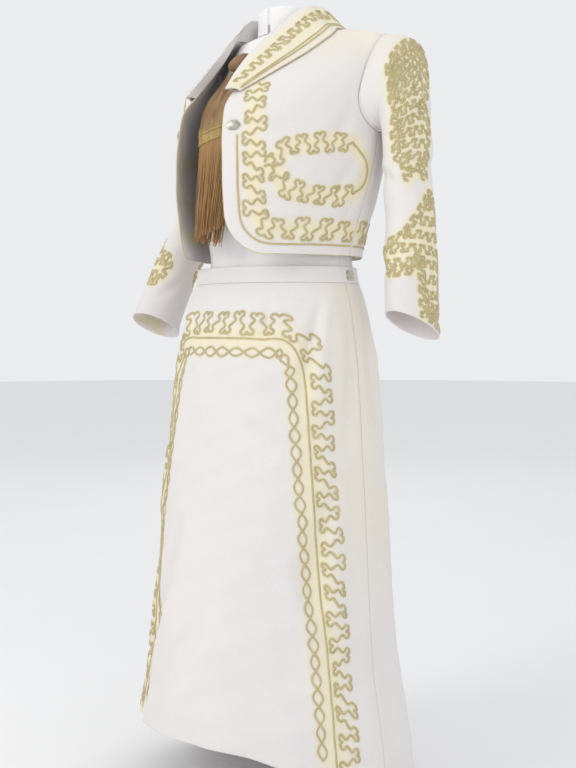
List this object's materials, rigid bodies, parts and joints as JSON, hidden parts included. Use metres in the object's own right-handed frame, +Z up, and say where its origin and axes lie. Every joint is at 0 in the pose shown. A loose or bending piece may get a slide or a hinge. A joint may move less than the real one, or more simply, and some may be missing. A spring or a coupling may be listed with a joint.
{
  "type": "mariachi suit with bolero jacket, long skirt, blouse and fringed bow tie",
  "caption": "Ivory mariachi suit as worn: open bolero jacket with gold braid, long skirt with an arch border, white blouse and a bronze fringed bow tie.",
  "frame": {"origin": "middle of the neck, level with the neck seam of the jacket, where the wearer's shoulders hold the suit", "axes": "+Z up, the wearer faces -Y, +X is the wearer's left"},
  "size_m": [0.646, 0.4908, 1.3927],
  "materials": {
    "ivory_cloth": "matte",
    "gold_braid": "satin",
    "bronze_satin": "satin",
    "bronze_fringe": "satin",
    "white_cotton": "matte",
    "clasp_metal": "satin"
  },
  "bodies": {
    "root": {"jacket_front_left": "ivory_cloth", "jacket_front_right": "ivory_cloth", "jacket_back": "ivory_cloth", "sleeve_left": "ivory_cloth", "sleeve_right": "ivory_cloth", "collar_left": "ivory_cloth", "collar_right": "ivory_cloth", "skirt_front": "ivory_cloth", "skirt_back": "ivory_cloth", "waistband": "ivory_cloth", "blouse_front": "white_cotton", "blouse_back": "white_cotton", "blouse_collar": "white_cotton", "tie_knot": "bronze_satin", "tie_tail_front": "bronze_satin", "tie_fringe_front": "bronze_fringe", "tie_tail_back": "bronze_satin", "tie_fringe_back": "bronze_fringe", "jacket_line_left": "gold_braid", "jacket_serpentine_left": "gold_braid", "chest_braid_left": "gold_braid", "jacket_line_right": "gold_braid", "jacket_serpentine_right": "gold_braid", "chest_braid_right": "gold_braid", "jacket_line_back": "gold_braid", "jacket_serpentine_back": "gold_braid", "collar_serpentine_left": "gold_braid", "collar_line_left": "gold_braid", "collar_serpentine_right": "gold_braid", "collar_line_right": "gold_braid", "shoulder_braid_left": "gold_braid", "forearm_braid_left": "gold_braid", "shoulder_braid_right": "gold_braid", "forearm_braid_right": "gold_braid", "skirt_line": "gold_braid", "skirt_serpentine": "gold_braid", "skirt_chain": "gold_braid", "clasp_left": "clasp_metal", "clasp_right": "clasp_metal", "waist_hook": "clasp_metal"}
  },
  "joints": []
}
